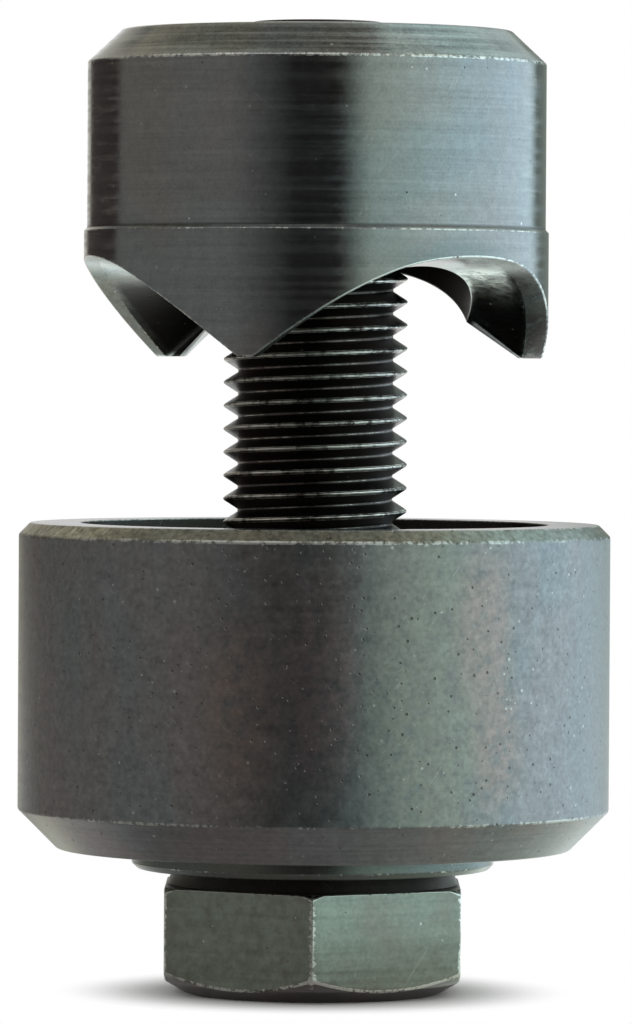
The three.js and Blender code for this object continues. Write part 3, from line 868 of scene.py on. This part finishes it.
ballFinish = {
    "darkColour": (0.56, 0.57, 0.58), "paleColour": (0.66, 0.67, 0.68),
    "grainFrequency": 6.0, "cloudFrequency": 1.0, "cloudLimits": (0.3, 0.7), "grainDepth": 0.0004,
    "roughness": 0.12, "roughnessSpread": 0.06,
}
cageFinish = {
    **ballFinish,
    "darkColour": (0.38, 0.24, 0.08), "paleColour": (0.55, 0.38, 0.15),
    "grainFrequency": 5.0, "cloudFrequency": 0.5, "grainDepth": 0.004,
    "roughness": 0.34, "roughnessSpread": 0.12,
}
bearingFinishes = {
    "upper_race": steels["raceSteel"],
    "ball_cage": plainMetal("cageBrass", cageFinish),
    "ball": plainMetal("ballSteel", ballFinish),
}
for name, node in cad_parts.items():
    kind = "ball" if name.startswith("ball_") and name != "ball_cage" else name
    if kind in bearingFinishes:
        node.data.materials.clear()
        node.data.materials.append(bearingFinishes[kind])
print("bearing finished")


# Studio. Cards and lamps stand round the tool, azimuths as above, and none shows to the camera.
plainWhite = (1.0, 1.0, 1.0)
studio = {
    "floorSize": 2.4, "floorColour": (0.92, 0.92, 0.91), "worldLevel": 0.95,
    "whiteSeen": (0.009, 0.017), "whiteMirrored": (0.020, 0.060),  # metres out, as white fades in
    "middle": (0, 0, 0.033),
    "cardStep": 3, "leastSteps": 4, "ceilingSteps": 36,
}


# Camera, glossy and transmission rays see the plain white background
def seenAsWhite(finish):
    lightPath = finish.add("ShaderNodeLightPath").socket.node
    seen, glossy, through = [Reading(finish.tree, lightPath.outputs[name])
                             for name in ("Is Camera Ray", "Is Glossy Ray", "Is Transmission Ray")]
    return seen, (glossy + through).clamped()


def studioWorld():
    world = bpy.data.worlds.new("studio")
    scene.world = world
    world.cycles.sampling_method = "NONE"  # so that every ray that leaves reads its own kind
    sky = Finish(world)
    dim, white = [sky.add("ShaderNodeBackground", inputs={"Color": plainWhite, "Strength": level})
                  for level in (studio["worldLevel"], 1.0)]
    seen, mirrored = seenAsWhite(sky)
    light = sky.add("ShaderNodeMixShader", inputs={0: (seen + mirrored).clamped(), 1: dim, 2: white})
    sky.add("ShaderNodeOutputWorld", inputs={"Surface": light})


def studioFloor():
    half = studio["floorSize"] / 2
    corners = [(-half, -half, 0), (half, -half, 0), (half, half, 0), (-half, half, 0)]
    mesh = bpy.data.meshes.new("floor")
    mesh.from_pydata(corners, [], [(0, 1, 2, 3)])
    paper = Finish(bpy.data.materials.new("floorPaper"))
    away = paper.length(paper.add("ShaderNodeTexCoord", output="Object"))
    seen, mirrored = seenAsWhite(paper)
    share = paper.ramp(away, *studio["whiteSeen"]) * seen
    share = share + paper.ramp(away, *studio["whiteMirrored"]) * mirrored
    plain = paper.add("ShaderNodeBsdfDiffuse", inputs={"Color": studio["floorColour"]})
    white = paper.add("ShaderNodeEmission", inputs={"Color": plainWhite, "Strength": 1.0})
    surface = paper.add("ShaderNodeMixShader", inputs={0: share, 1: plain, 2: white})
    paper.add("ShaderNodeOutputMaterial", inputs={"Surface": surface})
    mesh.materials.append(paper.owner)
    floor = bpy.data.objects.new("floor", mesh)
    scene.collection.objects.link(floor)


def facingTool(azimuth, distance, height):
    spot = around(azimuth, distance, height)
    aim = Vector(studio["middle"]) - spot
    return Matrix.Translation(spot) @ aim.to_track_quat("-Z", "Y").to_matrix().to_4x4()


# A board that only reflections see. Each point glows in its colour as far as its cover goes.
def placeBoard(name, points, faces, glows, covers):
    mesh = bpy.data.meshes.new(name)
    mesh.from_pydata(points, [], faces)
    mesh.attributes.new("glow", "FLOAT_COLOR", "POINT").data.foreach_set("color", glows)
    mesh.attributes.new("cover", "FLOAT", "POINT").data.foreach_set("value", covers)
    board = Finish(bpy.data.materials.new(name))
    colour = board.add("ShaderNodeAttribute", {"attribute_name": "glow"}, output="Color")
    glow = board.add("ShaderNodeEmission", inputs={"Color": colour, "Strength": 1.0})
    clear = board.add("ShaderNodeBsdfTransparent")
    cover = board.attribute("cover")
    surface = board.add("ShaderNodeMixShader", inputs={0: cover, 1: clear, 2: glow})
    board.add("ShaderNodeOutputMaterial", inputs={"Surface": surface})
    mesh.materials.append(board.owner)
    piece = bpy.data.objects.new(name, mesh)
    scene.collection.objects.link(piece)
    piece.visible_camera = piece.visible_diffuse = piece.visible_shadow = False


# A card bent round the tool. rows are (distance, height), stops are (azimuth, level, colour), and the
# card's ends fade over so many degrees.
def studioCard(name, card):
    stops, rows = card["stops"], card["rows"]
    first, last = stops[0][0], stops[-1][0]
    steps = studio["leastSteps"] + int((last - first) / studio["cardStep"])
    points, faces, glows, covers = [], [], [], []
    for step in range(steps + 1):
        azimuth = first + (last - first) * step / steps
        place = max(index for index, stop in enumerate(stops[:-1]) if stop[0] <= azimuth)
        (low, lowLevel, lowColour), (high, highLevel, highColour) = stops[place:place + 2]
        share = (azimuth - low) / (high - low)
        level = mixed(lowLevel, highLevel, share)
        colour = Vector(lowColour).lerp(Vector(highColour), share) * level
        cover = min(1, (azimuth - first) / card["fades"][0], (last - azimuth) / card["fades"][1])
        for distance, height in rows:
            points.append(around(azimuth, distance, height))
            glows += [*colour, 1]
            covers.append(cover)
        if step:
            there = len(rows) * step
            here = there - len(rows)
            faces += [(here + row, here + row + 1, there + row + 1, there + row)
                      for row in range(len(rows) - 1)]
    placeBoard(name, points, faces, glows, covers)


# A round card overhead, which fades towards its rim
def ceilingCard(name, card):
    count = studio["ceilingSteps"]
    points, covers, faces = [Vector((0, 0, card["height"]))], [1], []
    for radius, cover in ((card["solidRadius"], 1), (card["radius"], 0)):
        points += [around(azimuth, radius, card["height"]) for azimuth in evenAzimuths(count)]
        covers += [cover] * count
    for step in range(count):
        here, there = step + 1, (step + 1) % count + 1
        faces += [(0, here, there), (here, here + count, there + count, there)]
    glows = [*(Vector(card["colour"]) * card["level"]), 1] * len(points)
    placeBoard(name, points, faces, glows, covers)


def softbox(name, lamp):
    data = bpy.data.lights.new(name, "AREA")
    data.shape = "RECTANGLE"
    data.size, data.size_y = lamp["width"], lamp["height"]
    data.color = lamp["colour"]
    data.energy = lamp["level"] * pi * lamp["width"] * lamp["height"]
    light = bpy.data.objects.new(name, data)
    scene.collection.objects.link(light)
    light.matrix_world = facingTool(lamp["azimuth"], lamp["distance"], lamp["middle"])
    light.visible_camera = light.visible_glossy = False


table = [(0.036, 0.0004), (0.355, 0.0004)]
behindTable = [(0.040, 0.0003), (0.355, 0.0003)]
wall = [(0.36, 0.0), (0.36, 0.32)]
behindWall = [(0.37, 0.0), (0.37, 0.32)]
upperWall = [(0.32, 0.03), (0.32, 0.15)]
cove = [(0.36, 0.30), (0.13, 0.52)]
gapStops = [(-60, 0.042, (1.0, 0.94, 0.96)), (50, 0.046, (1.0, 0.94, 1.0))]
leftStops = [(-150, 0.38, (1.0, 0.99, 0.90)), (-119, 0.345, (1.0, 1.0, 0.96)),
             (-11, 0.37, (1.0, 1.0, 0.99))]
rightStops = [(12, 0.98, (0.81, 1.0, 0.92)), (35, 1.15, (0.80, 1.0, 0.96)),
              (70, 1.78, (0.71, 0.93, 1.0)), (110, 2.30, (0.70, 0.88, 1.0)),
              (130, 2.2, (0.72, 0.89, 1.0)), (148, 1.1, (0.80, 1.0, 1.0))]
cards = {
    "gapCard": {"rows": behindWall, "fades": (2, 2), "stops": gapStops},
    "gapTable": {"rows": behindTable, "fades": (2, 2), "stops": gapStops},
    "leftCard": {"rows": wall, "fades": (6, 32), "stops": [
        (-170, 0.75, (1.0, 0.99, 0.88)), (-157, 0.60, (1.0, 0.99, 0.88)), *leftStops]},
    "leftTable": {"rows": table, "fades": (12, 32), "stops": leftStops},
    "leftFlag": {"rows": upperWall, "fades": (3, 3), "stops": [
        (-157, 0.09, (1.0, 0.86, 0.83)), (-113, 0.09, (1.0, 0.86, 0.83))]},
    "rightCard": {"rows": wall, "fades": (15, 8), "stops": [
        *rightStops, (174, 0.6, (0.90, 1.0, 0.95))]},
    "rightTable": {"rows": table, "fades": (15, 12), "stops": rightStops},
    "rightFlag": {"rows": upperWall, "fades": (9, 3), "stops": [
        (133, 0.30, (0.80, 1.0, 0.92)), (176, 0.30, (0.90, 1.0, 0.88))]},
    "leftCove": {"rows": cove, "fades": (12, 45), "stops": [
        (-176, 0.80, (1.0, 0.97, 0.76)), (-152, 0.62, (1.0, 0.99, 0.80)),
        (-125, 0.44, (1.0, 1.0, 0.85)), (-72, 0.36, (1.0, 1.0, 0.88))]},
    "rightCove": {"rows": cove, "fades": (70, 12), "stops": [
        (52, 1.2, (0.80, 1.0, 0.95)), (150, 1.4, (0.79, 1.0, 0.98)), (176, 1.0, (0.90, 1.0, 0.92))]},
    "valleyTableRight": {"rows": [(0.042, 0.0008), (0.160, 0.0008)], "fades": (1.5, 3), "stops": [
        (155, 2.3, plainWhite), (165, 2.1, (0.97, 1.0, 0.99)), (169, 1.6, (0.92, 1.0, 0.98)),
        (174, 1.4, (0.90, 1.0, 0.98)), (186, 1.3, (0.88, 1.0, 0.97))]},
    "valleyTableLeft": {"rows": [(0.042, 0.0008), (0.140, 0.0008)], "fades": (2, 5), "stops": [
        (-172, 2.1, (0.92, 1.0, 1.0)), (-162, 1.45, (0.92, 1.0, 0.98)), (-154, 0.6, (0.95, 1.0, 0.90)),
        (-143, 0.4, (0.95, 1.0, 0.90))]},
    "toothTableLeft": {"rows": [(0.108, 0.0009), (0.18, 0.0009)], "fades": (2, 1.5), "stops": [
        (-178, 0.06, plainWhite), (-171, 0.06, plainWhite)]},
    "footTable": {"rows": [(0.009, 0.0008), (0.040, 0.0008)], "fades": (20, 6), "stops": [
        (-80, 0.27, (1.0, 0.97, 0.95)), (-20, 0.28, (1.0, 0.97, 0.95)), (5, 0.33, (1.0, 0.97, 0.95)),
        (35, 0.50, (0.97, 1.0, 0.93)), (62, 0.70, (0.92, 1.0, 0.91)), (75, 0.74, (0.90, 1.0, 0.91)),
        (95, 1.10, (0.90, 1.0, 0.92)), (112, 1.45, (0.91, 1.0, 0.92)), (145, 2.2, (0.94, 1.0, 1.0))]},
    "footTableLeft": {"rows": [(0.024, 0.0008), (0.038, 0.0008)], "fades": (8, 10), "stops": [
        (-142, 1.4, (0.98, 1.0, 0.82)), (-103, 1.15, (0.97, 1.0, 0.84))]},
}
for name, card in cards.items():
    studioCard(name, card)
overheadCard = {
    "height": 0.50, "solidRadius": 0.10, "radius": 0.24, "level": 0.36, "colour": (0.97, 1.0, 0.92),
}
topSoftbox = {
    "azimuth": 60, "distance": 0.35, "middle": 0.50, "width": 0.35, "height": 0.35, "level": 0.3,
    "colour": plainWhite,
}
ceilingCard("overheadCard", overheadCard)
softbox("topSoftbox", topSoftbox)
studioWorld()
studioFloor()
print("studio lit")


# The camera at the photograph's angle, level with the teeth and a little tilted and rolled
photoView = {
    "position": (0.00008, -0.4522, 0.04085), "tilt": -1.244, "roll": 0.333,
    "lens": 246.1, "sensor": 36.0, "nearest": 0.01,
}
data = bpy.data.cameras.new("photoCamera")
data.lens = photoView["lens"]
data.sensor_width = photoView["sensor"]
data.clip_start = photoView["nearest"]
camera = bpy.data.objects.new("photoCamera", data)
scene.collection.objects.link(camera)
camera.matrix_world = (Matrix.Translation(photoView["position"])
                       @ Matrix.Rotation(radians(90 + photoView["tilt"]), 4, "X")
                       @ Matrix.Rotation(radians(photoView["roll"]), 4, "Z"))
scene.camera = camera
scene.view_settings.view_transform = "Standard"
print("camera placed")
